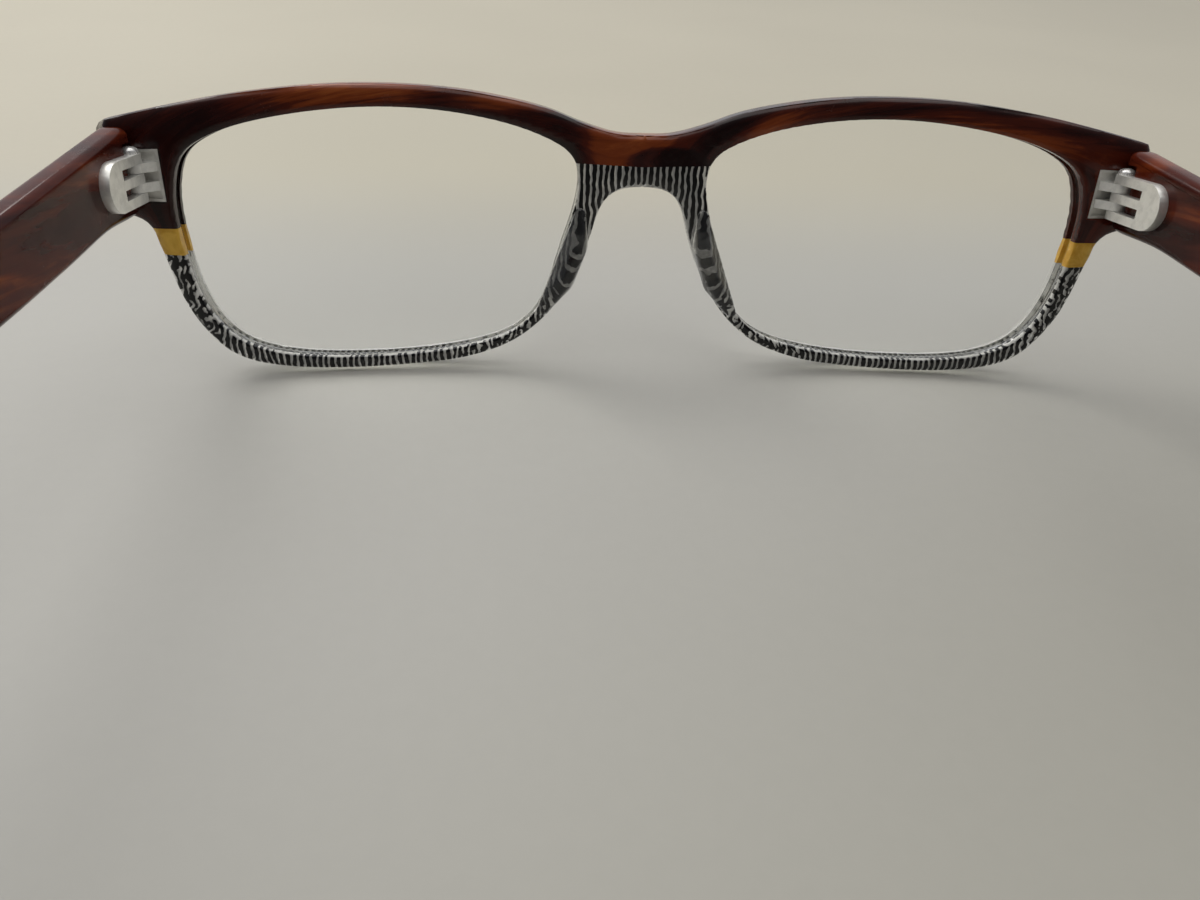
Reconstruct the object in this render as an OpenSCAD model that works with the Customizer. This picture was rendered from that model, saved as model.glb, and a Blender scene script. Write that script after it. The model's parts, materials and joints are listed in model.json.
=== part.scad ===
// Full-rim acetate eyeglasses with five-barrel hinges.
// The wearer looks along +Y, +Z is up and +X is the wearer's right. The glasses stand open on a table at
// Z = 0, on the two lower rims and the two temple tips.
// Front outlines are drawn in the front's own plane: x across, v up the front, n towards the wearer.

/* [Fit] */
// Width of one lens opening (the boxed lens size)
lens_w = 53.4; // [50:0.1:56]
// Gap between the two lens openings
bridge_w = 17.6; // [15:0.1:20]
// Temple length, from the hinge screw along the temple to its tip
temple_length = 140; // [130:1:150]

/* [Front] */
// Thickness of the acetate front
front_t = 3.8; // [3.2:0.1:4.4]
// Radius that the front is curved to across its width
front_curve_r = 580; // [450:10:900]
// Forward lean of the front's top, in degrees
front_tilt = 9; // [6:0.5:12]
// Height up the front where the striped lower rim ends and the accent block starts
accent_low = 16.6; // [15:0.1:18]
// Height up the front where the accent block ends and the brow starts
accent_high = 20.1; // [19:0.1:21]
// Height up the front where the brow meets the lower front at the bridge
bridge_seam = 29; // [28:0.1:30]
// Thickness of the patterned skins on the two faces of the lower front
skin_t = 0.4; // [0.2:0.05:0.6]

/* [Lenses] */
// Thickness of a lens
lens_t = 1.5; // [1.2:0.1:1.8]
// Radius of the lens surfaces
lens_r = 220; // [180:10:300]
// Depth of the groove that holds the lens
groove_depth = 0.5; // [0.3:0.1:0.6]
// Gap between the lens edge and its groove
groove_gap = 0.05; // [0.02:0.01:0.1]

/* [Hinges] */
// Distance of each hinge axis from the middle of the glasses
pivot_x = 65.7; // [65.2:0.1:66]
// Distance of each hinge axis behind the front's zero plane
pivot_n = 5.3; // [5.2:0.1:5.6]
// Height of the middle of the hinge up the front
hinge_v = 27.2; // [26.5:0.1:27.6]
// Height of one hinge barrel
barrel_h = 1.2; // [1:0.05:1.25]
// Outer radius of a hinge barrel
barrel_r = 1.3; // [1.2:0.05:1.35]
// Radius of the hinge screw's shank
screw_r = 0.7; // [0.6:0.05:0.75]
// Radial clearance of the front barrels on the screw
pivot_gap = 0.05; // [0.02:0.01:0.08]
// Length of the D-shaped plate behind the hinge axis
plate_l = 10.2; // [9:0.1:12]

/* [Temples] */
// Distance of the temple's inner face from the middle of the glasses
temple_in = 65.6; // [65.5:0.1:66]
// Thickness of a temple
temple_t = 3.5; // [3:0.1:4]
// Height of the temple's straight top edge above the table
temple_top = 34.2; // [33:0.1:35]
// Height of the temple where it meets the front
butt_h = 10.9; // [10:0.1:11.2]
// Height of the temple just behind the hinge
stem_h = 9.4; // [8.5:0.1:10]
// Height of the temple at the ear bend
neck_h = 6.6; // [6:0.1:8]
// Height of the temple at its tip
tip_h = 7.8; // [7:0.1:9]
// Downward angle of the ear section
ear_angle = 50; // [45:0.5:55]
// Radius of the ear bend
ear_r = 22; // [16:1:30]
// Radius of the wire inside each temple
core_r = 0.7; // [0.5:0.05:0.8]

/* [Hidden] */

round_fn = 48;
curve_fn = 1440;        // the front's curve is wide and shallow, so it takes many sides
curve_steps = 4;        // straight steps in each span of a curve
slack = 20;             // how far cutting shapes run past what they cut
past_end = 90;          // beyond the front's ends
past_top = 60;          // above the front's top
past_low = -10;         // below the front
barrel_gap = 0.04;      // gap between neighbouring barrels
butt_gap = 0.08;        // gap between the temple's end and the front
right = 1;
left = -1;

lens_x = (bridge_w + lens_w) / 2;
lens_v = 19;
hinge_h = 5 * barrel_h;
hinge_low = hinge_v - hinge_h / 2;
temple_out = temple_in + temple_t;
front_lift = face_depth(lens_x) * sin(front_tilt);
pivot_y = hinge_v * sin(front_tilt) - pivot_n * cos(front_tilt);
ear_arc = ear_r * ear_angle * PI / 180;
ear_drop = temple_top - neck_h / 2 - tip_h / 2;     // from the neck's middle to the middle of the tip
ear_straight = (ear_drop - ear_r * (1 - cos(ear_angle))) / sin(ear_angle);
ear_length = ear_arc + ear_straight + tip_h / 2;
stem_length = temple_length - ear_length;

// ---- Curves -------------------------------------------------------------------------------------------

// A point at parameter t on the smooth curve from b to c, with a and d as its neighbours.
function curve_point(a, b, c, d, t) =
    (2 * b + (c - a) * t + (2 * a - 5 * b + 4 * c - d) * t * t + (3 * b - a - 3 * c + d) * t * t * t) / 2;

// A smooth closed curve through the points.
function closed_curve(p) = [
    for (i = [0:len(p) - 1], k = [0:curve_steps - 1])
        curve_point(
            p[(i + len(p) - 1) % len(p)], p[i], p[(i + 1) % len(p)], p[(i + 2) % len(p)], k / curve_steps
        )
];

// A smooth open curve through the points. The extra points before and after set its end directions.
function open_curve(before, p, after) =
    let (q = concat([before], p, [after]))
    concat(
        [for (i = [1:len(p) - 1], k = [0:curve_steps - 1])
            curve_point(q[i - 1], q[i], q[i + 1], q[i + 2], k / curve_steps)],
        [p[len(p) - 1]]
    );

function mirrored(p) = [for (i = [len(p) - 1:-1:0]) [-p[i].x, p[i].y]];

function mix(a, b, t) = a + (b - a) * min(max(t, 0), 1);

// A smooth step from 0 to 1.
function ease(t) = let (u = min(max(t, 0), 1)) u * u * (3 - 2 * u);

// ---- Outlines of the front ----------------------------------------------------------------------------

// Lens opening, drawn about its own middle at one width and stretched to lens_w.
drawn_lens_w = 53.4;
opening_points = [
    for (p = [
        [26.7, 3.0], [26.3, 7.0], [24.9, 10.6], [21.8, 12.9], [16.5, 14.8], [8.5, 16.3], [0, 17.0],
        [-8.5, 16.7], [-16.5, 15.4], [-22.3, 13.5], [-25.6, 11.4], [-26.6, 8.4], [-26.0, 4.2],
        [-24.3, -1.0], [-22.7, -6.2], [-20.8, -10.4], [-17.2, -13.6], [-11.5, -15.6], [-3.5, -16.8],
        [6.5, -17.2], [14.5, -16.6], [20.1, -14.8], [23.5, -11.5], [25.4, -7.0], [26.3, -2.0]
    ]) [p.x * lens_w / drawn_lens_w, p.y]
];

// The lens opening grown by a distance.
function opening(grow) = [
    for (p = closed_curve(opening_points)) [lens_x, lens_v] + p * (1 + grow / norm(p))
];

// Upper outline, from the middle of the bridge to the outer top corner.
top_outline = open_curve([-4, 33.3], [
    [0, 33.1], [4, 33.3], [8.7, 34.6], [12.8, 36.1], [18, 37.3], [25.5, 38.4], [34, 38.8], [43, 38.5],
    [53, 37.3], [62, 35.6], [69.4, 33.9]
], [76, 32.2]);

// Lower outline, from the outer lower corner round the rim to the middle of the bridge.
low_outline = open_curve([70.2, 23.4], [
    [69.4, 22.6], [67.6, 22.1], [66.0, 21.2], [65.1, 19.5], [64.5, 16.5], [63.6, 12.8], [62.3, 9.0],
    [60.6, 5.8], [58.2, 3.0], [54.6, 1.2], [49, 0.3], [41, 0], [32.5, 0.4], [24.8, 1.5], [18.4, 3.7],
    [13.8, 7.2], [10.6, 11.4], [8.4, 15.7], [6.9, 19.8], [6, 22.8], [4.6, 25.0], [2.5, 26.1], [0, 26.3]
], [-2.5, 26.1]);

// The rounded outer end between the two outlines.
end_x = 70.9;
end_outline = [[70.5, 33.3], [end_x, 32.4], [70.7, 24.2], [70.2, 23.1]];

half_outline = concat(top_outline, end_outline, low_outline);

// How far forward the front face lies at x.
function face_depth(x) = front_t - pow(x, 2) / (2 * front_curve_r);

// The origin is under the middle of the glasses, halfway between the front's foremost point and the tips.
front_reach = max([
    for (p = half_outline) p.y * sin(front_tilt) + face_depth(p.x) * cos(front_tilt)
]);
tip_reach = stem_length - pivot_y + ear_r * sin(ear_angle) + ear_straight * cos(ear_angle) + tip_h / 2;
middle_y = (front_reach - tip_reach) / 2;

module front_outline() {
    difference() {
        polygon(concat(
            half_outline,
            [for (i = [1:len(half_outline) - 2]) mirrored(half_outline)[i]]
        ));
        for (side = [right, left])
            scale_side(side)
                polygon(opening(0));
    }
}

// Puts a flat shape drawn for the right side on either side.
module scale_side(side) {
    if (side == right) children();
    else mirror([1, 0]) children();
}

// The part of the front plane that the brow covers.
module brow_area() {
    polygon([
        [-past_end, past_top], [-past_end, accent_high], [-lens_x, accent_high], [-bridge_w, bridge_seam],
        [bridge_w, bridge_seam], [lens_x, accent_high], [past_end, accent_high], [past_end, past_top]
    ]);
}

// The part of the front plane that the lower rims cover.
module lower_area() {
    polygon([
        [-past_end, past_low], [-past_end, accent_low], [-lens_x, accent_low], [-bridge_w, bridge_seam],
        [bridge_w, bridge_seam], [lens_x, accent_low], [past_end, accent_low], [past_end, past_low]
    ]);
}

// ---- Placing ------------------------------------------------------------------------------------------

// Drawn x, y, z become the front's x, v, n, and the front leans forward.
module on_front() {
    translate([0, -middle_y, front_lift])
        rotate([90 - front_tilt, 0, 0])
            children();
}

// Builds for the right side and mirrors to the left.
module on_side(side) {
    if (side == right) children();
    else mirror([1, 0, 0]) children();
}

// Everything behind a surface of the curved front, depth in front of its back face.
module behind_curve(depth) {
    translate([0, -slack, front_curve_r])
        rotate([-90, 0, 0])
            cylinder(h = past_top + 2 * slack, r = front_curve_r + depth, $fn = curve_fn);
}

// A flat shape cut from the curved front between two depths.
module curved_slab(depth_in, depth_out) {
    difference() {
        intersection() {
            translate([0, 0, -slack])
                linear_extrude(2 * slack)
                    children();
            behind_curve(depth_out);
        }
        behind_curve(depth_in);
    }
}

taper_step = 0.05;      // how far the front's back edge stays inside the temple's outer face

// What is cut from the front's outer end, so that it narrows towards the temple's outer face.
module end_taper() {
    back_x = temple_out - taper_step;
    face_n = pow(end_x, 2) / (2 * front_curve_r);
    rotate([-90, 0, 0])
        linear_extrude(past_top)
            polygon([
                [back_x, -face_n - 1], [back_x, -face_n], [end_x, front_t - face_n],
                [end_x + 10, front_t - face_n], [end_x + 10, -face_n - 1]
            ]);
}

// ---- Lenses -------------------------------------------------------------------------------------------

lens_lean = asin(lens_x / front_curve_r);
lens_bulge = 1.3;       // how far the lens's middle stands forward of the middle of the front
lens_fn = 200;
lens_mid_n = pow(lens_x, 2) / (2 * front_curve_r) - front_t / 2 - lens_bulge;

// The right lens with its edge and faces grown by a gap.
module lens_shape(gap) {
    difference() {
        intersection() {
            translate([0, 0, -slack])
                linear_extrude(2 * slack)
                    polygon(opening(groove_depth - groove_gap + gap));
            lens_ball(lens_t / 2 + gap);
        }
        lens_ball(-lens_t / 2 - gap);
    }
}

module lens_ball(grow) {
    translate([lens_x - lens_r * sin(lens_lean), lens_v, lens_mid_n + lens_r * cos(lens_lean)])
        sphere(r = lens_r + grow, $fn = lens_fn);
}

module lens(side) {
    color([0.86, 0.9, 0.92, 0.35])
        on_side(side)
            on_front()
                lens_shape(0);
}

// ---- The acetate front --------------------------------------------------------------------------------

module lens_grooves() {
    for (side = [right, left])
        on_side(side)
            lens_shape(groove_gap);
}

module front_brow() {
    color([0.28, 0.1, 0.05])
        on_front()
            difference() {
                curved_slab(0, front_t)
                    intersection() {
                        front_outline();
                        brow_area();
                    }
                lens_grooves();
                for (side = [right, left])
                    on_side(side) {
                        front_hinge_seat();
                        end_taper();
                    }
            }
}

module lower_layer(depth_in, depth_out) {
    on_front()
        difference() {
            curved_slab(depth_in, depth_out)
                intersection() {
                    front_outline();
                    lower_area();
                }
            lens_grooves();
        }
}

module lower_core() {
    color([0.85, 0.87, 0.84, 0.5])
        lower_layer(skin_t, front_t - skin_t);
}

module pattern_skin_back() {
    color([0.25, 0.25, 0.25])
        lower_layer(0, skin_t);
}

module pattern_skin_front() {
    color([0.25, 0.25, 0.25])
        lower_layer(front_t - skin_t, front_t);
}

module accent_block(side) {
    color([0.8, 0.55, 0.1])
        on_side(side)
            on_front()
                difference() {
                    curved_slab(0, front_t)
                        intersection() {
                            front_outline();
                            translate([lens_x, accent_low])
                                square([lens_w, accent_high - accent_low]);
                        }
                    lens_shape(groove_gap);
                }
}

// ---- Nose pads ----------------------------------------------------------------------------------------

pad_base_n = 0.17;      // the pad's flat base lies on the front's back face
pad_base_h = 0.2;
pad_fn = 28;

// The pad is blended over round feet, each [x, v, radius], and two beads, each [x, v, n, radius].
pad_feet = [[8.6, 22.8, 0.9], [8.9, 18.4, 1.6], [10.9, 13.0, 1.6], [14.0, 8.6, 0.9]];
pad_beads = [[8.8, 18.0, 2.1, 1.1], [10.6, 13.6, 1.9, 1.1]];

module nose_pad(side) {
    color([0.9, 0.9, 0.86, 0.6])
        on_side(side)
            on_front()
                hull() {
                    for (foot = pad_feet)
                        translate([foot.x, foot.y, pad_base_n])
                            cylinder(h = pad_base_h, r = foot.z, $fn = pad_fn);
                    for (bead = pad_beads)
                        translate([bead.x, bead.y, bead.z])
                            sphere(r = bead[3], $fn = pad_fn);
                }
}

// ---- Hinges -------------------------------------------------------------------------------------------

seat_in = pivot_x - 2.8;
seat_out = pivot_x + 1.9;
seat_n = 2.3;           // floor of the recess in the front
base_t = 0.8;           // thickness of the plate in the recess
rim_t = 0.35;
rim_n = 3.5;            // top of the plate's rim
seat_margin = 0.3;      // how far the recess runs above and below the barrels
finger_foot = 0.9;      // inward of the axis, where a finger meets the barrel
finger_toe = 0.6;       // outward of the axis, where a finger's foot ends
post_r = 0.55;
post_l = 1.5;
front_post_v = 1.6;     // height of each front post above or below the hinge's middle
front_post_x = pivot_x - 0.6;
temple_posts = [3.2, plate_l - 1.8];    // distances of the temple posts behind the axis
plate_in = pivot_x - barrel_r;
plate_out = temple_in + 0.8;
screw_fit = 0.02;       // radial clearance of the temple barrels on the screw
pocket_low = 0.2;       // room under the lowest barrel
pocket_high = 1.3;      // room over the highest barrel, for the screw's head
pocket_wide = 0.15;     // room outside the barrels
pocket_back = 1.8;      // how far the pocket reaches behind the axis
slot_end = 6.0;         // how far the slots between the barrels reach behind the axis

// Height of the lower end of a barrel, numbered from 0 at the bottom.
function barrel_v(i) = hinge_low + i * barrel_h;

module box_between(a, b) {
    translate(a)
        cube(b - a);
}

// A straight cylinder up the hinge axis.
module on_pivot(v, h, r) {
    translate([pivot_x, v, pivot_n])
        rotate([-90, 0, 0])
            cylinder(h = h, r = r, $fn = round_fn);
}

module front_hinge_seat() {
    box_between(
        [seat_in, hinge_low - seat_margin, seat_n],
        [seat_out, hinge_low + hinge_h + seat_margin, slack]
    );
    front_hinge_posts();
}

module front_hinge_posts() {
    for (v = [hinge_v - front_post_v, hinge_v + front_post_v])
        translate([front_post_x, v, seat_n - post_l])
            cylinder(h = post_l, r = post_r, $fn = round_fn);
}

// One finger of the front plate, from the base up to the barrel.
module front_finger(i) {
    translate([0, barrel_v(i) + barrel_h - barrel_gap / 2, 0])
        rotate([90, 0, 0])
            linear_extrude(barrel_h - barrel_gap)
                polygon([
                    [seat_in + rim_t, seat_n + base_t], [seat_in + rim_t, rim_n + 0.2],
                    [pivot_x - finger_foot, pivot_n + finger_foot], [pivot_x, pivot_n],
                    [pivot_x + finger_toe, pivot_n - finger_foot], [pivot_x + finger_toe, seat_n + base_t]
                ]);
    on_pivot(barrel_v(i) + barrel_gap / 2, barrel_h - barrel_gap, barrel_r);
}

module front_hinge(side) {
    color([0.8, 0.8, 0.78])
        on_side(side)
            on_front()
                difference() {
                    union() {
                        difference() {
                            box_between(
                                [seat_in, hinge_low - seat_margin, seat_n],
                                [seat_out, hinge_low + hinge_h + seat_margin, rim_n]
                            );
                            box_between(
                                [seat_in + rim_t, hinge_low - seat_margin + rim_t, seat_n + base_t],
                                [seat_out + 1, hinge_low + hinge_h + seat_margin - rim_t, slack]
                            );
                        }
                        front_hinge_posts();
                        for (i = [1, 3])
                            front_finger(i);
                    }
                    on_pivot(hinge_low - slack, hinge_h + 2 * slack, screw_r + pivot_gap);
                }
}

// The temple plate without its slots, drawn with n across and v up: square at the axis, round at the end.
module plate_blank() {
    end_r = hinge_h / 2;
    translate([pivot_n, hinge_low])
        square([plate_l - end_r, hinge_h]);
    translate([pivot_n + plate_l - end_r, hinge_v])
        circle(r = end_r, $fn = 64);
}

module plate_outline() {
    difference() {
        plate_blank();
        for (i = [1, 3])
            translate([pivot_n - 1, barrel_v(i) - barrel_gap / 2])
                square([1 + slot_end, barrel_h + barrel_gap]);
    }
}

// A flat shape drawn in n and v, given a thickness across the glasses.
module across(x, thickness) {
    translate([x, 0, 0])
        rotate([0, -90, 0])
            translate([0, 0, -thickness])
                linear_extrude(thickness)
                    children();
}

module temple_hinge_posts() {
    for (behind = temple_posts)
        translate([plate_out, hinge_v, pivot_n + behind])
            rotate([0, 90, 0])
                cylinder(h = post_l, r = post_r, $fn = round_fn);
}

module temple_hinge(side) {
    color([0.82, 0.82, 0.8])
        on_side(side)
            on_front()
                difference() {
                    union() {
                        across(plate_in, plate_out - plate_in)
                            plate_outline();
                        for (i = [0, 2, 4])
                            on_pivot(barrel_v(i) + barrel_gap / 2, barrel_h - barrel_gap, barrel_r);
                        temple_hinge_posts();
                    }
                    on_pivot(hinge_low - slack, hinge_h + 2 * slack, screw_r + screw_fit);
                }
}

// What is cut from a temple to take its hinge.
module temple_hinge_seat() {
    across(plate_in - 1, plate_out - plate_in + 1)
        plate_blank();
    temple_hinge_posts();
    box_between(
        [plate_in - 1, hinge_low - pocket_low, pivot_n - 5],
        [pivot_x + barrel_r + pocket_wide, hinge_low + hinge_h + pocket_high, pivot_n + pocket_back]
    );
}

head_r = 1.15;
head_h = 0.85;
head_rim = 0.25;        // height of the head's straight edge
head_slot = 0.3;
head_slot_deep = 0.35;
head_top = hinge_low + hinge_h + head_h;

module hinge_screw(side) {
    color([0.86, 0.86, 0.84])
        on_side(side)
            on_front()
                difference() {
                    union() {
                        on_pivot(hinge_low, hinge_h + 0.1, screw_r);
                        translate([pivot_x, hinge_low + hinge_h, pivot_n])
                            rotate([-90, 0, 0])
                                screw_head();
                    }
                    box_between(
                        [pivot_x - head_r, head_top - head_slot_deep, pivot_n - head_slot / 2],
                        [pivot_x + head_r, head_top + 1, pivot_n + head_slot / 2]
                    );
                }
}

// A low dome on a short rim.
module screw_head() {
    rotate_extrude($fn = round_fn)
        polygon(concat(
            [[0, 0], [head_r, 0]],
            [for (a = [0:15:90]) [head_r * cos(a), head_rim + (head_h - head_rim) * sin(a)]]
        ));
}

// ---- Temples ------------------------------------------------------------------------------------------

butt_length = 8;        // how far the blank runs forward of the hinge axis
butt_back = 2;          // where the temple starts to narrow, forward of the axis
stem_start = 12;        // where the stem starts, behind the axis
tip_blend = 26;         // length over which the ear section widens to the tip

// Height of the temple at a distance s behind the hinge axis.
function temple_height(s) =
    s < stem_start ? mix(butt_h, stem_h, ease((s + butt_back) / (stem_start + butt_back)))
    : s < stem_length ? mix(stem_h, neck_h, ease((s - stem_start) / (stem_length - stem_start)))
    : mix(neck_h, tip_h, ease((s - stem_length) / tip_blend));

// Slope of the centre line at s: level along the stem, then turning down round the ear bend.
function ear_turn(s) = min(max((s - stem_length) / ear_arc, 0), 1) * ear_angle;

// Middle of the temple's side at s, as [y, z]. The straight stem keeps its top edge level.
function stem_middle(s) = [pivot_y - s, temple_top - temple_height(s) / 2];

function temple_middle(s) =
    s <= stem_length ? stem_middle(s)
    : let (
        start = stem_middle(stem_length),
        a = ear_turn(s),
        rest = max(s - stem_length - ear_arc, 0)
    )
    start + ear_r * [-sin(a), cos(a) - 1] + rest * [-cos(a), -sin(a)];

// A point on the temple's upper (1) or lower (-1) edge at s.
function temple_edge(s, way, height) =
    temple_middle(s) + way * height / 2 * [-sin(ear_turn(s)), cos(ear_turn(s))];

temple_stations = concat(
    [-butt_length],
    [for (s = [-butt_back:2:stem_start]) s],
    [for (s = [20:12:stem_length - 6]) s],
    [for (k = [0:8]) stem_length + k * ear_arc / 8],
    [for (k = [1:4]) stem_length + ear_arc + k * ear_straight / 4]
);

// Side view of a temple, drawn with y across and z up.
module temple_side() {
    polygon(concat(
        [for (s = temple_stations) temple_edge(s, 1, temple_height(s))],
        [for (a = [15:15:165])
            temple_middle(temple_length - tip_h / 2)
            + tip_h / 2 * [-sin(ear_angle + a), cos(ear_angle + a)]],
        [for (i = [len(temple_stations) - 1:-1:0])
            temple_edge(temple_stations[i], -1, temple_height(temple_stations[i]))]
    ));
}

// A shape drawn with y across and z up, given a thickness across the glasses.
module sideways(x, thickness) {
    translate([x, -middle_y, 0])
        rotate([90, 0, 90])
            linear_extrude(thickness)
                children();
}

module temple(side) {
    color([0.3, 0.1, 0.06])
        on_side(side)
            difference() {
                intersection() {
                    sideways(temple_in, temple_t)
                        temple_side();
                    on_front()
                        behind_curve(-butt_gap);
                }
                on_front()
                    temple_hinge_seat();
            }
}

core_start = 16;        // behind the hinge axis
core_margin = 10;       // short of the tip
core_edge = 3 * core_r; // height of the flat wire

// Flat wire down the middle of the temple, stopping short of the tip.
module core_wire(side) {
    stations = concat(
        [core_start, stem_length],
        [for (k = [1:8]) stem_length + k * ear_arc / 8],
        [temple_length - core_margin]
    );
    color([0.6, 0.6, 0.6])
        on_side(side)
            sideways(temple_in + temple_t / 2 - core_r, 2 * core_r)
                polygon(concat(
                    [for (s = stations) temple_edge(s, 1, core_edge)],
                    [for (i = [len(stations) - 1:-1:0]) temple_edge(stations[i], -1, core_edge)]
                ));
}

// ---- Nodes --------------------------------------------------------------------------------------------

front_brow();
lower_core();
pattern_skin_back();
pattern_skin_front();
accent_block(left);  // accent_block_left
accent_block(right);  // accent_block_right
nose_pad(left);  // nose_pad_left
nose_pad(right);  // nose_pad_right
lens(left);  // lens_left
lens(right);  // lens_right
front_hinge(left);  // front_hinge_left
front_hinge(right);  // front_hinge_right
temple_hinge(left);  // temple_hinge_left
temple_hinge(right);  // temple_hinge_right
hinge_screw(left);  // hinge_screw_left
hinge_screw(right);  // hinge_screw_right
temple(left);  // temple_left
temple(right);  // temple_right
core_wire(left);  // core_wire_left
core_wire(right);  // core_wire_right
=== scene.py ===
import itertools
import json
import math

import bmesh
import bpy
import numpy as np
from mathutils import Matrix, Vector


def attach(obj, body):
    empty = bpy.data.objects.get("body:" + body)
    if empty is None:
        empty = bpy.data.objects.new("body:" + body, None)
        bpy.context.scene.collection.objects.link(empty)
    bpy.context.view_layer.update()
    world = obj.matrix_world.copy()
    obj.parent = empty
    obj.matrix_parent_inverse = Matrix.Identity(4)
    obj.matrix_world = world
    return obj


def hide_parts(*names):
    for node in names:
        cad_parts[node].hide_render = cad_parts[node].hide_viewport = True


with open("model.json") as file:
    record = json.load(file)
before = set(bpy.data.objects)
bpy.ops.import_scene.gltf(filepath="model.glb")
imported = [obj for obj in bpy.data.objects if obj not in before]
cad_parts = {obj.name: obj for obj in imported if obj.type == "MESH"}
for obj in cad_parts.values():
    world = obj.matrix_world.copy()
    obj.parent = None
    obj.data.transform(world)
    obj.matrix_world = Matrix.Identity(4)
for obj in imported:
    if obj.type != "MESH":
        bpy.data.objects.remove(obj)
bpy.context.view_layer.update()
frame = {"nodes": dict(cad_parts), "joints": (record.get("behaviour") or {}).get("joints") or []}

MM = 0.001
NODES = frame["nodes"]
SIDES = {"right": 1, "left": -1}
WELD = MM / 500  # corners closer together than this count as one
MERGE = 0.001 * MM  # corners of a new piece closer than this are joined
NUDGE = 0.02 * MM  # how far from the middle line a point still counts as on it

# ---------------------------------------------------------------- the front's own plane

ACROSS = np.array([1.0, 0.0, 0.0])
UP = np.array(next(j for j in frame["joints"] if j["name"] == "fold_left")["axis"])
BACK = np.cross(ACROSS, UP)  # towards the wearer
FRONT_PIECES = ("front_brow", "pattern_skin_back", "pattern_skin_front", "accent_block_right")
PILLAR = 2 * MM  # so near the middle, the front's curve is too small to matter
NOSE = 20 * MM  # how far from the middle the brow's lowest edge is the seam at the bridge


def corners(node):
    """A CAD node's vertices at rest, one row each."""
    mesh = NODES[node].data
    co = np.empty(len(mesh.vertices) * 3)
    mesh.vertices.foreach_get("co", co)
    return co.reshape(-1, 3)


def triangles(node):
    """A CAD node's triangles, three corner numbers each."""
    mesh = NODES[node].data
    mesh.calc_loop_triangles()
    tri = np.empty(len(mesh.loop_triangles) * 3, dtype=int)
    mesh.loop_triangles.foreach_get("vertices", tri)
    return tri.reshape(-1, 3)


brow = corners("front_brow")
# The front's own zero: on the middle line, at the bridge's back face, level with the lowest rim.
ORIGIN = (
    UP * min((corners(n) @ UP).min() for n in FRONT_PIECES)
    + BACK * (brow @ BACK)[np.abs(brow[:, 0]) < PILLAR].max()
)


def to_front(points):
    """Points as distances across, up the front and towards the wearer."""
    return (points - ORIGIN) @ np.array([ACROSS, UP, BACK]).T


def from_front(points):
    """The way back from to_front."""
    return points @ np.array([ACROSS, UP, BACK]) + ORIGIN


flat_brow = to_front(brow)
far = flat_brow[np.argmax(flat_brow[:, 2])]
CURVE_R = (far[0] ** 2 + far[2] ** 2) / (2 * far[2])
bridge_pillar = flat_brow[np.abs(flat_brow[:, 0]) < PILLAR]
FRONT_T = -bridge_pillar[:, 2].min()
accent_v = to_front(corners("accent_block_right"))[:, 1]
SEAM_LOW = accent_v.min()
SEAM_HIGH = accent_v.max()
BRIDGE_SEAM = flat_brow[np.abs(flat_brow[:, 0]) < NOSE, 1].min()
lens = to_front(corners("lens_right"))
LENS_MID = (lens[:, :2].min(0) + lens[:, :2].max(0)) / 2
LENS_REACH = 1.3 * MM  # how far from a point its nearest lens corners may lie


def back_surface(x):
    """How far towards the wearer the front's curved back face lies."""
    return CURVE_R - np.sqrt(CURVE_R**2 - x**2)


# ---------------------------------------------------------------- outlines read from the CAD

OUTLINE_STEP = 0.4 * MM
FACE_TOLERANCE = 0.04 * MM
SEAM_TOLERANCE = 0.03 * MM
RECESS_MARGIN = 0.4 * MM  # how far round the hinge its recess's edges are left out
WALK_REACH = 3 * MM  # the widest gap between two neighbours on an outline
WAYS = 360  # directions that the lens's own outline is tested in


def edge_points(nodes, chosen, step, place=lambda p: p):
    """Evenly spaced points on the outer edges of the CAD faces whose corners are all chosen.

    The second result has the two ends of the edge that each point lies on.
    """
    count = {}
    for node in nodes:
        points = place(corners(node))
        keep = chosen(points)
        for tri in triangles(node):
            if not keep[tri].all():
                continue
            for a, b in ((0, 1), (1, 2), (2, 0)):
                ends = [tuple(np.round(points[tri[i]] / WELD).astype(int)) for i in (a, b)]
                key = tuple(sorted(ends))
                count.setdefault(key, [0, points[tri[a]], points[tri[b]]])[0] += 1
    out = []
    for times, a, b in count.values():
        if times == 1:
            parts = max(1, int(np.linalg.norm(b - a) / step))
            out += [(a, a + (b - a) * (i + 0.5) / parts, b) for i in range(parts)]
    return np.array(out)[:, 1], np.array(out)[:, (0, 2)]


def walk(points, start, reach):
    """The points in the order they are met along the line, from the one nearest start."""
    left = np.ones(len(points), bool)
    at = int(np.argmin(np.linalg.norm(points - start, axis=1)))
    order = [at]
    left[at] = False
    while left.any():
        gap = np.linalg.norm(points - points[at], axis=1)
        gap[~left] = np.inf
        at = int(np.argmin(gap))
        if gap[at] > reach:
            break
        order.append(at)
        left[at] = False
    return points[order]


def run_lengths(line):
    """How far along the line each of its points lies."""
    return np.concatenate([[0], np.cumsum(np.linalg.norm(np.diff(line, axis=0), axis=1))])


def resample(line, step, closed=False, soften=1):
    """The line at even steps, with its corners softened over a few steps."""
    if closed:
        line = np.vstack([line, line[:1]])
    run = run_lengths(line)
    even = np.linspace(0, run[-1], int(run[-1] / step) + 1)
    out = np.stack([np.interp(even, run, line[:, i]) for i in range(line.shape[1])], 1)
    if closed:
        out = out[:-1]
    for _ in range(soften):
        ahead = np.roll(out, -1, 0)
        behind = np.roll(out, 1, 0)
        smooth = (ahead + behind + 2 * out) / 4
        if not closed:
            smooth[[0, -1]] = out[[0, -1]]
        out = smooth
    return out


def near_lens(point):
    """The lens's corners close to a point of the front's plane."""
    return lens[np.linalg.norm(lens[:, :2] - point, axis=1) < LENS_REACH]


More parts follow.
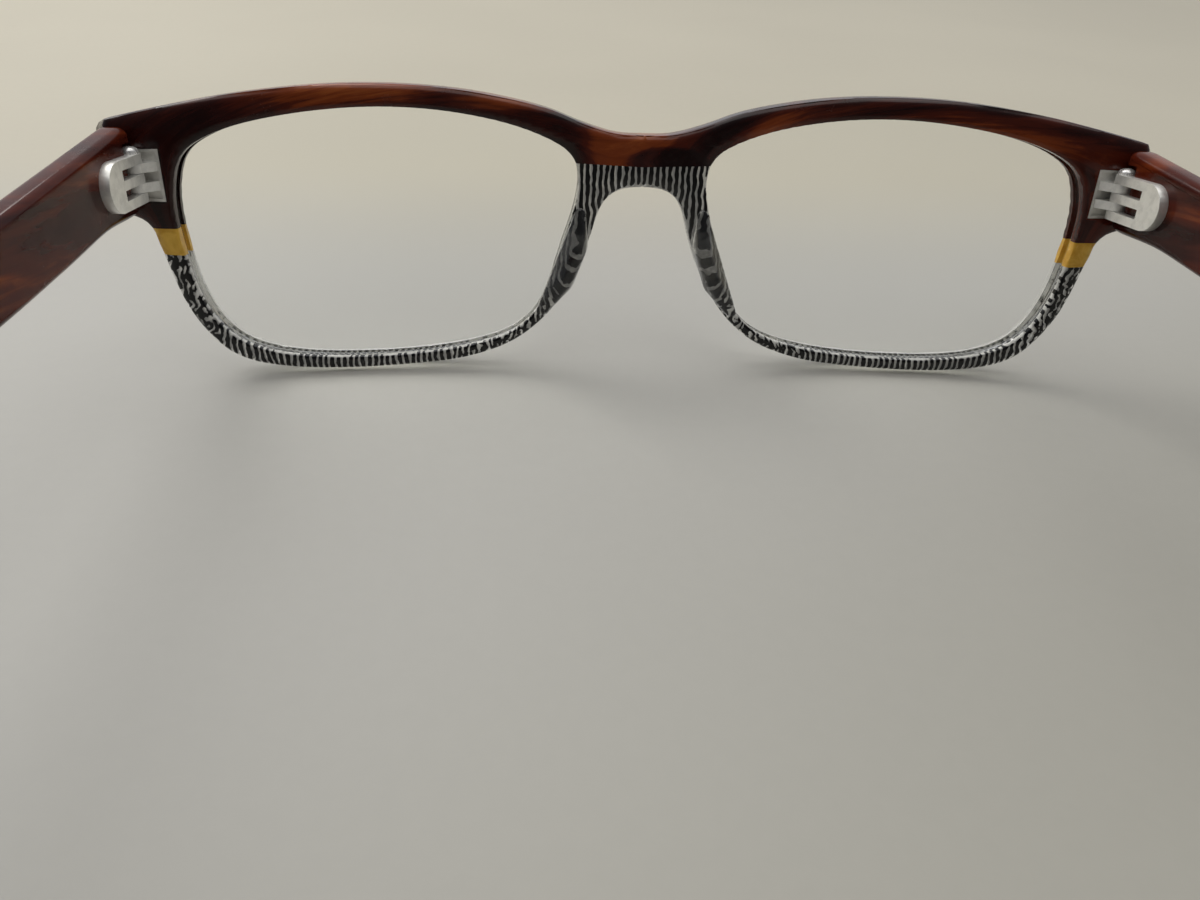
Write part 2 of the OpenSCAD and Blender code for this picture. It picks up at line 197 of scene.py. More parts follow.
def front_outline(depth, nodes):
    """The opening and the outer outline of the right half, at a depth behind the back face."""

    def chosen(p):
        return np.abs(p[:, 2] - back_surface(p[:, 0]) + depth) < FACE_TOLERANCE

    mids, ends = edge_points(nodes, chosen, OUTLINE_STEP, to_front)
    seam = np.zeros(len(mids), bool)
    for v in (SEAM_LOW, SEAM_HIGH, BRIDGE_SEAM):
        seam |= (np.abs(ends[:, :, 1] - v) < SEAM_TOLERANCE).all(1)
    hinge = to_front(corners("front_hinge_right"))
    low = hinge[:, :2].min(0) - RECESS_MARGIN
    high = hinge[:, :2].max(0) + RECESS_MARGIN
    recess = ((mids[:, :2] > low) & (mids[:, :2] < high)).all(1)
    mids = mids[~seam & ~recess & (mids[:, 0] > 0)][:, :2]
    turns = np.linspace(0, 2 * math.pi, WAYS, endpoint=False)
    ways = np.array([np.cos(turns), np.sin(turns)])
    inner = (mids @ ways < (lens[:, :2] @ ways).max(0)).all(1)
    turn = np.arctan2(mids[:, 1] - LENS_MID[1], mids[:, 0] - LENS_MID[0])
    opening = mids[inner][np.argsort(turn[inner])]
    outer = walk(mids[~inner], np.array([0, lens[:, 1].max()]), WALK_REACH)
    return resample(opening, OUTLINE_STEP, closed=True, soften=2), resample(outer, OUTLINE_STEP)


opening, outer_back = front_outline(0, ("front_brow", "pattern_skin_back", "accent_block_right"))
_, outer_front = front_outline(FRONT_T, ("front_brow", "pattern_skin_front", "accent_block_right"))


# ---------------------------------------------------------------- the front's ribs

STEP = 0.8 * MM
EDGE_OUT = 0.95 * MM  # radius of the rim's rounded outer edges
EDGE_IN = 0.4 * MM  # and of the opening's
ARC = (0, 0.076, 0.29, 0.617, 1)  # rows of a rounded edge, as shares of its radius
BAND_ROWS = 5
MIDDLE_RIBS = 4
GROOVE = 0.5 * MM  # depth of the groove that holds a lens
SEAM_GAP = 0.01 * MM  # how far each layer stops short of its seams
SHARP = math.radians(38)  # edges that turn more than this look sharp


def crossing(line, axis, value, where):
    """The place along a line where one coordinate passes a value, on the side that where picks."""
    side = line[:, axis] > value
    places = np.nonzero((side[1:] != side[:-1]) & where(line[:-1]))[0]
    return int(places[0])


def furthest(line, direction):
    """The place along a line that lies furthest in a direction."""
    return int(np.argmax(line @ np.array(direction)))


# The four sides of the lens's middle that a point may lie on.


def is_outside(p):
    return p[:, 0] > LENS_MID[0]


def is_inside(p):
    return p[:, 0] < LENS_MID[0]


def is_high(p):
    return p[:, 1] > LENS_MID[1]


def is_low(p):
    return p[:, 1] < LENS_MID[1]


def stations(line, ends):
    """Places on an outline that ribs start or end at: top, corners, seams and bottom."""
    first, last = ends
    return {
        "start": first,
        "top": crossing(line, 0, LENS_MID[0], is_high),
        "end_corner": furthest(line, (1, 1)),
        "seam_high": crossing(line, 1, SEAM_HIGH, is_outside),
        "seam_low": crossing(line, 1, SEAM_LOW, is_outside),
        "low_corner": furthest(line, (1, -1)),
        "bottom": crossing(line, 0, LENS_MID[0], is_low),
        "nasal_corner": furthest(line, (-1, -1)),
        "finish": last,
    }


def pick(line, places, shares):
    """Points on a line at whole and part places in a list of station indices."""
    run = run_lengths(line)
    at = np.interp(shares, np.arange(len(places)), run[places])
    return np.stack([np.interp(at, run, line[:, i]) for i in range(2)], 1)


# The opening is turned to run the way the outer outline does, from the bridge over the top.
bridge_at = crossing(opening, 1, BRIDGE_SEAM, is_inside)
opening = np.roll(opening[::-1], bridge_at + 1, axis=0)
opening = np.vstack([opening, opening[:1]])
BRIDGE_RUN = 3.2 * MM  # how much of the opening on each side of the seam the bridge's ribs take
bridge_steps = int(BRIDGE_RUN / np.linalg.norm(opening[1] - opening[0]))
inner_at = stations(opening, (bridge_steps, len(opening) - 1 - bridge_steps))
outer_at = stations(outer_back, (0, len(outer_back) - 1))
outer_front_at = stations(outer_front, (0, len(outer_front) - 1))
names = list(outer_at)
outer_run = run_lengths(outer_back)

shares = []
for i in range(len(names) - 1):
    length = outer_run[outer_at[names[i + 1]]] - outer_run[outer_at[names[i]]]
    count = max(2, round(length / STEP))
    shares += list(i + np.arange(count) / count)
shares = np.array(shares + [len(names) - 1])

ring_in = pick(opening, list(inner_at.values()), shares)
ring_back = pick(outer_back, list(outer_at.values()), shares)
ring_front = pick(outer_front, list(outer_front_at.values()), shares)


open_run = run_lengths(opening)
total_run = open_run[-1]
whole_turn = total_run * (1 - 1e-9)  # a hair less, because a full turn counts as the start


def middle_ribs(edge, seam, inner_at_edge, inner_at_seam):
    """Ribs that end on the middle line, from an outline's edge to the seam, closest at the edge."""
    away = math.copysign(EDGE_OUT, seam - edge)
    close = edge + away * np.array(ARC[1:])
    heights = np.concatenate([close, np.linspace(edge + 2 * away, seam, MIDDLE_RIBS)])
    part = (heights - edge) / (seam - edge)
    outer = np.stack([np.zeros(len(heights)), heights], 1)
    at = (inner_at_edge + (inner_at_seam - inner_at_edge) * part) % total_run
    inner = np.stack([np.interp(at, open_run, opening[:, i]) for i in range(2)], 1)
    return inner, outer


lower = middle_ribs(outer_back[-1, 1], BRIDGE_SEAM, open_run[inner_at["finish"]], whole_turn)
upper = middle_ribs(outer_back[0, 1], BRIDGE_SEAM, open_run[inner_at["start"]], 0)
ring_in = np.vstack([ring_in, lower[0], upper[0][-2::-1]])
ring_back = np.vstack([ring_back, lower[1], upper[1][-2::-1]])
ring_front = np.vstack([ring_front, lower[1], upper[1][-2::-1]])
# Both ends of the outer outline lie exactly on the middle line.
for ring in (ring_back, ring_front):
    ring[[0, len(shares) - 1], 0] = 0
RIBS = len(ring_in)
OUTSIDE_RIBS = len(shares)
AT_SEAM_HIGH = int(np.argmin(np.abs(shares - names.index("seam_high"))))
AT_SEAM_LOW = int(np.argmin(np.abs(shares - names.index("seam_low"))))
AT_BRIDGE = OUTSIDE_RIBS + len(lower[0]) - 1


def drop(distance, radius):
    """How far a rounded edge lies below its face, at a distance from the outline."""
    inside = np.clip(radius - distance, 0, radius)
    return radius - np.sqrt(np.maximum(radius**2 - inside**2, 0))


def gap_to(points, line):
    """How far each point is from the nearest point of a line."""
    return np.sqrt(((points[:, None, :] - line[None]) ** 2).sum(2)).min(1)


def face_row(outer, outline, place, side, depth):
    """One row of points along a face, at a share of each rib or a distance from one of its ends."""
    span = outer - ring_in
    width = np.linalg.norm(span, axis=1)
    kind, value = place
    if kind == "inner":
        share = value / width
    elif kind == "outer":
        share = 1 - value / width
    else:
        low = EDGE_IN / width
        share = low + (1 - EDGE_OUT / width - low) * value
    flat = ring_in + span * share[:, None]
    from_opening = gap_to(flat, opening)
    from_outline = gap_to(flat, outline)
    level = drop(from_opening, EDGE_IN) + drop(from_outline, EDGE_OUT)
    if kind == "inner" and value == 0:
        level = np.full(len(flat), EDGE_IN)
    if kind == "outer" and value == 0:
        # Ribs past the outside ones end on the middle line, and keep the level worked out above.
        rounded = np.full(len(flat), EDGE_OUT)
        rounded[OUTSIDE_RIBS:] = level[OUTSIDE_RIBS:]
        level = rounded
    level = level + depth
    surface = back_surface(flat[:, 0]) - (level if side == "back" else FRONT_T - level)
    return np.column_stack([flat, surface]), from_opening / (from_opening + from_outline)


def face_rows(side, depth):
    """The rows of one face from the opening out to the rim's outer edge."""
    outer, outline = (ring_back, outer_back) if side == "back" else (ring_front, outer_front)
    steps = [("inner", EDGE_IN * a) for a in ARC]
    steps += [("band", (i + 1) / (BAND_ROWS + 1)) for i in range(BAND_ROWS)]
    steps += [("outer", EDGE_OUT * a) for a in reversed(ARC)]
    return [face_row(outer, outline, s, side, depth) for s in steps]


def even_out(values, times=12):
    """A loop of values with its small wobbles taken out."""
    for _ in range(times):
        values = (np.roll(values, 1) + 2 * values + np.roll(values, -1)) / 4
    return values


def groove_rows():
    """The rows of the opening's wall from front to back, with the groove for the lens."""
    outward = ring_back - ring_in
    outward /= np.linalg.norm(outward, axis=1)[:, None]
    edges = [near_lens(point)[:, 2] for point in ring_in]
    low = even_out(np.array([e.min() for e in edges]))
    high = even_out(np.array([e.max() for e in edges]))
    rows = []
    for level, reach in ((low, 0), (low, GROOVE), (high, GROOVE), (high, 0)):
        rows.append((np.column_stack([ring_in + outward * reach, level]), np.zeros(RIBS)))
    return rows


def new_piece(name, verts, faces, material, attributes=None):
    """An object with smooth faces, sharp edges where they turn, and marks for its material to read."""
    mesh = bpy.data.meshes.new(name)
    mesh.from_pydata([tuple(v) for v in verts], [], [tuple(int(i) for i in f) for f in faces])
    for key, values in (attributes or {}).items():
        layer = mesh.attributes.new(key, "FLOAT_VECTOR", "POINT")
        layer.data.foreach_set("vector", np.asarray(values, np.float32).ravel())
    bm = bmesh.new()
    bm.from_mesh(mesh)
    bmesh.ops.remove_doubles(bm, verts=bm.verts, dist=MERGE)
    bmesh.ops.recalc_face_normals(bm, faces=bm.faces)
    bm.to_mesh(mesh)
    bm.free()
    mesh.shade_smooth()
    mesh.set_sharp_from_angle(angle=SHARP)
    mesh.materials.append(material)
    obj = bpy.data.objects.new(name, mesh)
    bpy.context.scene.collection.objects.link(obj)
    return obj


def strip(rows, first, last):
    """Points and faces of one strip of ribs, each rib a closed loop of rows."""
    count = (last - first) % RIBS + 1
    ribs = [(first + i) % RIBS for i in range(count)]
    grid = np.array([row[0] for row in rows])[:, ribs]
    share = np.array([row[1] for row in rows])[:, ribs]
    for end, beside in ((0, 1), (-1, -2)):
        step = grid[:, beside] - grid[:, end]
        size = np.linalg.norm(step[:, :2], axis=1).mean()
        grid[:, end] += step * SEAM_GAP / size
    faces = []
    total = len(rows)
    for r in range(total):
        on = (r + 1) % total
        for k in range(count - 1):
            quad = [(r, k), (on, k), (on, k + 1), (r, k + 1)]
            # No faces lie on the middle line, so that the two halves join there.
            if not all(abs(grid[i, j, 0]) < NUDGE for i, j in quad):
                faces.append([i * count + j for i, j in quad])
    faces.append([i * count for i in range(total)])
    faces.append([i * count + count - 1 for i in range(total)])
    points = grid.reshape(-1, 3)
    run = ring_back[ribs] - ring_in[ribs]
    across = np.abs(run[:, 0]) / np.linalg.norm(run, axis=1)
    band = np.column_stack([points[:, 0], share.reshape(-1), np.tile(across, total)])
    return points, faces, band


def front_piece(name, rows, first, last, material, sides=(1, -1)):
    """A piece of the front from one rib to another: the right one, its mirror image, or both."""
    points, faces, band = strip(rows, first, last)
    points[np.abs(points[:, 0]) < NUDGE, 0] = 0
    halves = np.vstack([points * (side, 1, 1) for side in sides])
    bands = np.vstack([band * (side, 1, 1) for side in sides])
    both = [[i + n * len(points) for i in face] for n in range(len(sides)) for face in faces]
    obj = new_piece(name, from_front(halves), both, material, {"band": bands})
    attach(obj, "front")
    return obj


# ---------------------------------------------------------------- material helpers


class Nodes:
    """A material's node tree, with short calls that add a node and return its first output."""

    def __init__(self, name, surface):
        self.material = bpy.data.materials.new(name)
        self.material.use_nodes = True
        self.tree = self.material.node_tree
        self.surface = self.tree.nodes["Principled BSDF"]
        for key, value in surface.items():
            self.put(key, value)

    def put(self, key, value):
        """Sets one input of the surface."""
        self.set(self.surface.inputs[key], value)

    def set(self, socket, value):
        if isinstance(value, bpy.types.NodeSocket):
            self.tree.links.new(value, socket)
        elif hasattr(value, "__len__") and len(value) == 3 and socket.type == "RGBA":
            socket.default_value = (*value, 1)
        else:
            socket.default_value = value

    def add(self, kind, values=(), out=0, **settings):
        made = self.tree.nodes.new("ShaderNode" + kind)
        for key, value in settings.items():
            setattr(made, key, value)
        pairs = values.items() if isinstance(values, dict) else enumerate(values)
        for key, value in pairs:
            if value is not None:
                self.set(made.inputs[key], value)
        return made.outputs[out]

    def math(self, operation, *values, clamp=False):
        return self.add("Math", values, operation=operation, use_clamp=clamp)

    def times(self, a, b):
        return self.math("MULTIPLY", a, b)

    def plus(self, a, b, clamp=False):
        return self.math("ADD", a, b, clamp=clamp)

    def minus(self, a, b):
        return self.math("SUBTRACT", a, b)

    def place(self):
        return self.add("TexCoord", out="Object")

    def parts(self, vector):
        """A vector's three numbers."""
        made = self.add("SeparateXYZ", [vector]).node
        return [made.outputs[i] for i in range(3)]

    def band(self):
        """Across the front, the share from opening to edge, and how far the rim runs up and down."""
        return self.parts(self.add("Attribute", out="Vector", attribute_name="band"))

    def point(self, x, y, z):
        return self.add("CombineXYZ", [x, y, z])

    def scaled(self, vector, factor):
        return self.add("VectorMath", {0: vector, "Scale": factor}, operation="SCALE")

    def noise(self, where, scale, detail=2.0, roughness=0.5, distortion=0.0):
        values = {
            "Vector": where, "Scale": scale, "Detail": detail, "Roughness": roughness,
            "Distortion": distortion,
        }
        return self.add("TexNoise", values, out="Fac")

    def ramp(self, factor, stops):
        """Colours, or plain values, that flow into each other along a factor from 0 to 1."""
        made = self.add("ValToRGB", [factor]).node
        made.color_ramp.interpolation = "EASE"
        elements = made.color_ramp.elements
        while len(elements) < len(stops):
            elements.new(0.5)
        for element, (at, colour) in zip(elements, stops):
            element.position = at
            element.color = (*colour, 1) if hasattr(colour, "__len__") else (colour,) * 3 + (1,)
        return made.outputs[0]

    def span(self, value, low, high, to_low=0.0, to_high=1.0):
        """A smooth change from to_low to to_high as a value goes from low to high."""
        values = {
            "Value": value, "From Min": low, "From Max": high, "To Min": to_low, "To Max": to_high,
        }
        return self.add("MapRange", values, interpolation_type="SMOOTHSTEP")

    def bump(self, height, depth, strength=1.0):
        normal = self.add("Bump", {"Height": height, "Distance": depth, "Strength": strength})
        self.put("Normal", normal)

    def let_light_through(self, tint=(1, 1, 1)):
        """Lamps shine through, so that a clear piece has no black shadow."""
        shadow = self.add("LightPath", out="Is Shadow Ray")
        clear = self.add("BsdfTransparent", [tint])
        mixed = self.add("MixShader", [shadow, self.surface.outputs[0], clear])
        self.set(self.tree.nodes["Material Output"].inputs["Surface"], mixed)


SCRATCH = 0.004 * MM  # how deep wear marks go
ACETATE = {"IOR": 1.49, "Coat Weight": 0.1, "Coat Roughness": 0.05, "Specular IOR Level": 0.36}
# The tortoise's colours from its darkest cloud to its lightest streak.
TORTOISE = (
    (0.0, (0.009, 0.0014, 0.0012)),
    (0.25, (0.029, 0.0042, 0.0028)),
    (0.5, (0.075, 0.011, 0.0045)),
    (0.75, (0.21, 0.040, 0.0085)),
    (1.0, (0.35, 0.085, 0.019)),
)


def acetate_finish(m, dull=1.0):
    """Fine scuffs and polish marks that every worn acetate surface has."""
    marks = m.noise(m.place(), 900.0, 4.0, 0.6)
    smears = m.noise(m.place(), 110.0, 3.0, 0.55)
    scuffed = m.span(marks, 0.35, 0.75, 0.10 * dull, 0.2 * dull)
    smeared = m.span(smears, 0.4, 0.7, 0.0, 0.12 * dull)
    m.put("Roughness", m.plus(scuffed, smeared))
    m.bump(marks, SCRATCH)


# How light the brow's tortoise is along the front, from the wearer's left to right, in millimetres.
BROW_LIGHT = (
    (-71, 0.10), (-58, 0.18), (-50, 0.50), (-42, 0.68), (-33, 0.60), (-27, 0.28), (-21, 0.42),
    (-15, 0.36), (-10, 0.12), (-6, 0.62), (0, 0.66), (5, 0.30), (10, 0.06), (17, 0.62), (24, 0.34),
    (34, 0.15), (44, 0.42), (54, 0.50), (62, 0.36), (71, 0.30),
)
# Which edge of the rim the light streaks keep to: above a half is the outer edge.
BROW_SIDE = (
    (-71, 0.5), (-45, 0.85), (-30, 0.8), (-10, 0.6), (0, 0.75), (14, 0.3), (30, 0.5), (48, 0.15),
    (71, 0.5),
)
FRONT_HALF = 72 * MM  # a little more than half the front's width


def along_front(m, x, stops):
    """A value that changes along the front, given as (millimetres from the middle, value) pairs."""
    share = m.span(x, -FRONT_HALF, FRONT_HALF)
    share.node.interpolation_type = "LINEAR"
    return m.ramp(share, [((at * MM / FRONT_HALF + 1) / 2, value) for at, value in stops])


PATCH_AT = from_front(np.array([3.2 * MM, BRIDGE_SEAM + 0.5 * MM, 0]))
PATCH_SIZE = (5.5 * MM, 2.2 * MM)
PATCH_DARK = 0.6


def dark_patch(m, x, height):
    """The dark cloud over the seam at the bridge."""
    across = m.math("DIVIDE", m.minus(x, float(PATCH_AT[0])), PATCH_SIZE[0])
    above = m.math("DIVIDE", m.minus(height, float(PATCH_AT[2])), PATCH_SIZE[1])
    away = m.plus(m.times(across, across), m.times(above, above))
    return m.span(away, 0.5, 1.3, PATCH_DARK, 0.0)


def brow_material():
    m = Nodes("brow_tortoise", ACETATE)
    x, share, _ = m.band()
    height = m.parts(m.place())[2]
    slant = m.plus(m.times(share, 0.30), m.times(x, -14.0))
    flow = m.point(m.times(x, 40.0), m.times(slant, 5.5), m.times(height, 8.0))
    broad = m.noise(flow, 1.0, 2.0, 0.5, 0.6)
    fine = m.noise(flow, 4.2, 4.0, 0.6, 0.9)
    light = along_front(m, x, BROW_LIGHT)
    side = along_front(m, x, BROW_SIDE)
    lean = m.times(m.minus(share, 0.5), m.minus(side, 0.5))
    value = m.plus(light, m.times(lean, 1.9))
    value = m.minus(value, dark_patch(m, x, height))
    value = m.plus(value, m.times(m.minus(broad, 0.5), 1.1))
    value = m.plus(value, m.times(m.minus(fine, 0.5), 0.65), clamp=True)
    m.put("Base Color", m.ramp(value, TORTOISE))
    acetate_finish(m)
    return m.material


def temple_material():
    m = Nodes("temple_tortoise", ACETATE)
    m.put("Specular IOR Level", 0.14)
    m.put("Coat Weight", 0.05)
    x, y, z = m.parts(m.place())
    slant = m.plus(z, m.times(y, 0.22))
    flow = m.point(m.times(x, 60.0), m.times(y, 34.0), m.times(slant, 240.0))
    broad = m.noise(flow, 1.0, 2.0, 0.5, 0.8)
    fine = m.noise(flow, 3.7, 4.0, 0.6, 1.0)
    value = m.plus(0.48, m.times(m.minus(broad, 0.5), 1.2))
    value = m.plus(value, m.times(m.minus(fine, 0.5), 0.4), clamp=True)
    m.put("Base Color", m.ramp(value, TORTOISE))
    acetate_finish(m)
    return m.material


BAR_PITCH = 0.87 * MM
NEAT_TO = 9 * MM  # the bars stay neat this far from the middle
WILD_FROM = 14 * MM  # and may break up from here on
SWAY_NEAT, SWAY_WILD = 1.0 * MM, 3.4 * MM  # how far the bars wander
BREAK_NEAT, BREAK_WILD = 1.8, 8.0  # how hard they are broken up
BLACK_BAR = (0.003, 0.003, 0.0035)
PALE_GAP = (0.92, 0.91, 0.87)
GAP_ALPHA = 0.36
CLEAR_DULL = 0.15  # a clear piece shows far less wear than a dark one


def pattern_material(name, clear_share, fade):
    """Black bars up the front, neat under the lenses and broken into blotches where the rim turns.

    clear_share is how much of the rim next to the opening stays clear, and fade thins the blotches out.
    """
    m = Nodes(name, ACETATE)
    x, share, turn = m.band()
    height = m.parts(m.place())[2]
    flat = m.point(x, height, 0.0)
    clear_of_bridge = m.span(m.math("ABSOLUTE", x), NEAT_TO, WILD_FROM)
    wild = m.times(m.span(turn, 0.3, 0.8), clear_of_bridge)
    sway = m.minus(m.noise(flat, 360.0, 2.0), 0.5)
    sway_size = m.span(wild, 0.0, 1.0, SWAY_NEAT, SWAY_WILD)
    moved = m.plus(x, m.times(sway, sway_size))
    wave = m.math("SINE", m.times(moved, 2 * math.pi / BAR_PITCH))
    breaks = m.minus(m.noise(flat, 1000.0, 2.0, 0.5), 0.5)
    wave = m.plus(wave, m.times(breaks, m.span(wild, 0.0, 1.0, BREAK_NEAT, BREAK_WILD)))
    # Both edges of the rim stay clear, and a strip next to the opening with them.
    edge = m.math("ABSOLUTE", m.minus(share, 0.5))
    wave = m.minus(wave, m.span(edge, 0.43, 0.5, 0.0, 3.0))
    wave = m.minus(wave, m.span(share, clear_share / 3, clear_share, 6.0, 0.0))
    wave = m.minus(wave, m.times(wild, fade))
    black = m.span(wave, -0.50, -0.30)
    m.put("Base Color", m.ramp(black, ((0, PALE_GAP), (1, BLACK_BAR))))
    m.put("Alpha", m.span(black, 0.0, 1.0, GAP_ALPHA, 1.0))
    acetate_finish(m)
    return m.material


def clear_material(name, tint, speckle=0.0):
    """Clear acetate, a little cloudy, with darker dots as strong as speckle."""
    m = Nodes(name, {"IOR": 1.49, "Transmission Weight": 1.0})
    cloud = m.noise(m.place(), 260.0, 3.0, 0.6)
    dots = m.noise(m.place(), 2600.0, 2.0, 0.5)
    cloudy = m.span(cloud, 0.3, 0.7, 0.9, 1.0)
    m.put("Base Color", m.scaled(tint, m.times(cloudy, m.span(dots, 0.4, 0.62, 1.0 - speckle, 1.0))))
    acetate_finish(m, CLEAR_DULL)
    m.let_light_through(tint)
    return m.material


MUSTARD_DARK = (0.60, 0.31, 0.03)
MUSTARD_LIGHT = (0.82, 0.50, 0.08)


def accent_material():
    m = Nodes("mustard_acetate", ACETATE)
    cloud = m.noise(m.place(), 420.0, 4.0, 0.6, 0.6)
    m.put("Base Color", m.ramp(cloud, ((0.3, MUSTARD_DARK), (0.7, MUSTARD_LIGHT))))
    acetate_finish(m)
    return m.material


LENS_TINT = (0.985, 0.99, 0.985)
LENS_SHADOW = (0.97, 0.975, 0.97)


def lens_material():
    """A coated lens, which mirrors and bends light very little."""
    m = Nodes("lens", {"IOR": 1.12, "Transmission Weight": 1.0})
    smears = m.noise(m.place(), 90.0, 4.0, 0.6, 0.5)
    m.put("Roughness", m.span(smears, 0.5, 0.8, 0.0, 0.03))
    m.put("Base Color", LENS_TINT)
    m.let_light_through(LENS_SHADOW)
    return m.material


LINES = 4000.0  # polishing lines to the metre
TARNISH = 0.85  # brightness of the dull clouds
METALLIC = 0.62


def metal_material(name, colour, rough, stretch):
    """Satin metal with the fine lines that its polishing left, stretched towards the wearer."""
    m = Nodes(name, {"Metallic": METALLIC})
    x, y, z = m.parts(m.place())
    lined = m.point(m.times(x, LINES), m.times(y, LINES / stretch), m.times(z, LINES))
    lines = m.noise(lined, 1.0, 3.0, 0.6)
    tarnish = m.noise(m.place(), 700.0, 3.0, 0.6)
    dull = tuple(c * TARNISH for c in colour)
    m.put("Base Color", m.ramp(tarnish, ((0.3, dull), (0.62, colour))))
    m.put("Roughness", m.span(lines, 0.3, 0.7, rough - 0.06, rough + 0.1))
    m.bump(lines, SCRATCH, 0.6)
    return m.material


TABLE_GRAIN = 0.02 * MM
TABLE_LEFT = (0.495, 0.485, 0.448)
# The near right's colour is the table's own with painted shade over it.
TABLE_RIGHT_PAINTED_SHADE = (0.415, 0.402, 0.352)
TABLE_FAR = (0.575, 0.535, 0.43)
CREAM_FROM, CREAM_TO = 0.085, 0.16  # where the table turns to its far colour


def floor_material():
    """A pale table with painted shade that darkens it towards the near right, turning to warm cream
    towards the far edge.
    """
    m = Nodes("table", {"Roughness": 0.55})
    x, y, _ = m.parts(m.place())
    far = m.span(y, CREAM_FROM, CREAM_TO)
    # Mask for the painted shade, rising from the left and far side to the near right.
    right = m.span(m.minus(m.times(x, 0.7), y), -0.05, 0.05)
    grain = m.noise(m.place(), 420.0, 5.0, 0.65)
    mottle = m.noise(m.place(), 9.0, 2.0, 0.5)
    colour = m.add("MixRGB", [right, TABLE_LEFT, TABLE_RIGHT_PAINTED_SHADE])
    colour = m.add("MixRGB", [far, colour, TABLE_FAR])
    shade = m.times(m.span(grain, 0.3, 0.7, 0.985, 1.0), m.span(mottle, 0.3, 0.7, 0.96, 1.0))
    m.put("Base Color", m.scaled(colour, shade))
    m.bump(grain, TABLE_GRAIN, 0.4)
    return m.material


# ---------------------------------------------------------------- the front

SKIN = 0.4 * MM
LAYER_GAP = 0.01 * MM  # keeps the core's faces from lying in the skins' faces
TORTOISE_BROW = brow_material()
ZEBRA = {
    "back": pattern_material("zebra_back", clear_share=0.03, fade=-0.1),
    "front": pattern_material("zebra_front", clear_share=0.24, fade=1.5),
}
CLEAR = clear_material("clear_acetate", (0.93, 0.93, 0.91))
MUSTARD = accent_material()

BOX_FACES = [(0, 1, 3, 2), (4, 6, 7, 5), (0, 4, 5, 1), (2, 3, 7, 6), (0, 2, 6, 4), (1, 5, 7, 3)]


def box_cutter(low, high, side):
    """A box between two opposite corners in the front's own plane, on one side of the glasses."""
    corner = np.array(list(itertools.product(*zip(low, high))))
    mesh = bpy.data.meshes.new("cutter")
    mesh.from_pydata([tuple(c) for c in from_front(corner * (side, 1, 1))], [], BOX_FACES)
    bm = bmesh.new()
    bm.from_mesh(mesh)
    bmesh.ops.recalc_face_normals(bm, faces=bm.faces)
    bm.to_mesh(mesh)
    bm.free()
    obj = bpy.data.objects.new("cutter", mesh)
    bpy.context.scene.collection.objects.link(obj)
    return obj


def hinge_cutter(side):
    """The box that the front hinge's plate is let into, a hair smaller than the plate."""
    edge_strip = 0.1 * MM
    past_face = 5 * MM
    hair = 0.01 * MM
    plate = to_front(corners("front_hinge_right"))
    plate_edge = plate[plate[:, 0] < plate[:, 0].min() + edge_strip]
    low = plate.min(0)
    low[2] = plate_edge[:, 2].min()
    high = plate.max(0)
    high[2] += past_face
    low[:2] += hair
    high[:2] -= hair
    return box_cutter(low, high, side)


def cut(obj, cutters):
    """Takes the cutters' shapes out of a piece, and removes them."""
    for cutter in cutters:
        change = obj.modifiers.new("cut", "BOOLEAN")
        change.operation = "DIFFERENCE"
        # The exact solver adds the barrels' box to the right temple instead of taking it out.
        change.solver = "FAST"
        change.object = cutter
    apply_modifiers(obj)
    obj.data.set_sharp_from_angle(angle=SHARP)
    for cutter in cutters:
        bpy.data.objects.remove(cutter)


def apply_modifiers(obj):
    """Turns what the modifiers make of a piece into its own mesh."""
    bpy.context.view_layer.update()
    seen = bpy.context.evaluated_depsgraph_get()
    mesh = bpy.data.meshes.new_from_object(obj.evaluated_get(seen))
    obj.modifiers.clear()
    obj.data = mesh


whole = face_rows("back", 0) + face_rows("front", 0)[::-1] + groove_rows()
core = face_rows("back", SKIN + LAYER_GAP) + face_rows("front", SKIN + LAYER_GAP)[::-1] + groove_rows()
skin_back = face_rows("back", 0) + face_rows("back", SKIN)[::-1]
skin_front = face_rows("front", 0) + face_rows("front", SKIN)[::-1]


def refresh_band(obj):
    """Marks the corners that a cut has made, which hold zeros, as the middle of an upright rim.

    The wall of the opening holds a zero share too, and gets the rim's middle with them.
    """
    band = obj.data.attributes["band"].data
    for vertex, mark in zip(obj.data.vertices, band):
        share, turn = mark.vector[1:]
        mark.vector = (vertex.co.x, share or 0.5, turn or 1.0)


brow_piece = front_piece("brow_frame", whole, AT_BRIDGE, AT_SEAM_HIGH, TORTOISE_BROW)
cut(brow_piece, [hinge_cutter(side) for side in SIDES.values()])
refresh_band(brow_piece)
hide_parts("front_brow")
core_piece = front_piece("lower_rims", core, AT_SEAM_LOW, AT_BRIDGE, CLEAR)
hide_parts("lower_core")
for which, rows in (("back", skin_back), ("front", skin_front)):
    skin = front_piece("pattern_" + which, rows, AT_SEAM_LOW, AT_BRIDGE, ZEBRA[which])
    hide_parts("pattern_skin_" + which)
for which, side in SIDES.items():
    block = front_piece("accent_" + which, whole, AT_SEAM_HIGH, AT_SEAM_LOW, MUSTARD, (side,))
    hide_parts("accent_block_" + which)

# ---------------------------------------------------------------- nose pads

PAD = clear_material("pad_acetate", (0.90, 0.90, 0.89), speckle=0.25)
PAD_WELD = 0.005 * MM
PAD_VOXEL = 0.22 * MM
PAD_SMOOTHING = 30


